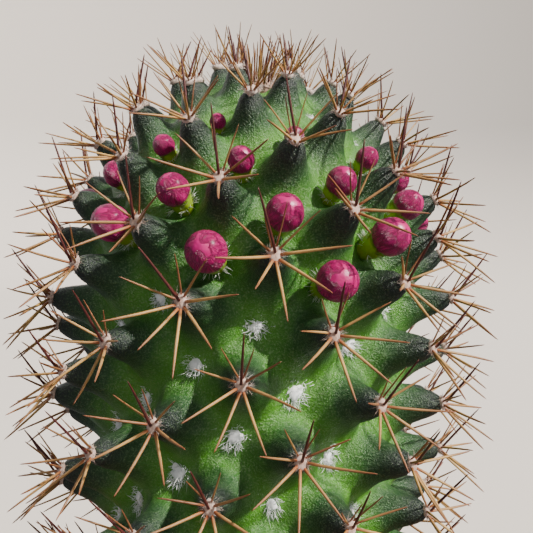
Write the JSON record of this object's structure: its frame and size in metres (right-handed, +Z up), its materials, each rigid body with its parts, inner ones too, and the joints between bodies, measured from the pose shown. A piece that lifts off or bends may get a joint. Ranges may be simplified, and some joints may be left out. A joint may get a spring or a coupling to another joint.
{
  "type": "potted nipple cactus",
  "caption": "Round-topped columnar cactus with spiralling tubercles, spine clusters and a ring of closed buds, standing in soil in a plain flowerpot.",
  "frame": {"origin": "middle of the pot's base, on the surface that it stands on", "axes": "+Z up along the stem and the pot's axis; -Y towards the side that the plant is viewed from, +X to the viewer's right"},
  "size_m": [0.092, 0.092, 0.1742],
  "materials": {
    "pot_clay": "unglazed terracotta, matt",
    "soil": "loose potting mix of peat, bark and grit",
    "stem_skin": "waxy green skin, half gloss, pitted",
    "spine": "dry tan spine with dark tip",
    "wool": "white felt and hair",
    "bud": "silky magenta tepals over a yellow-green base"
  },
  "bodies": {
    "root": {"pot": "pot_clay", "soil": "soil", "stem": "stem_skin", "crown_wool": "wool", "spines_8": "spine", "spines_9": "spine", "spines_10": "spine", "spines_11": "spine", "spines_12": "spine", "spines_13": "spine", "spines_14": "spine", "spines_15": "spine", "spines_16": "spine", "spines_17": "spine", "spines_18": "spine", "spines_19": "spine", "spines_20": "spine", "spines_21": "spine", "spines_22": "spine", "spines_23": "spine", "spines_24": "spine", "spines_25": "spine", "spines_26": "spine", "spines_27": "spine", "spines_28": "spine", "spines_29": "spine", "spines_30": "spine", "spines_31": "spine", "spines_32": "spine", "spines_33": "spine", "spines_34": "spine", "spines_35": "spine", "bud_35": "bud", "bud_40": "bud", "bud_43": "bud", "bud_44": "bud", "bud_45": "bud", "bud_46": "bud", "bud_47": "bud", "bud_48": "bud", "bud_49": "bud", "bud_50": "bud", "bud_51": "bud", "bud_52": "bud", "bud_53": "bud", "bud_54": "bud", "bud_55": "bud", "bud_56": "bud", "bud_57": "bud", "bud_58": "bud", "bud_59": "bud", "bud_60": "bud", "bud_61": "bud", "bud_62": "bud", "bud_63": "bud", "bud_64": "bud", "bud_65": "bud", "bud_66": "bud", "bud_69": "bud", "bud_74": "bud"}
  },
  "joints": []
}
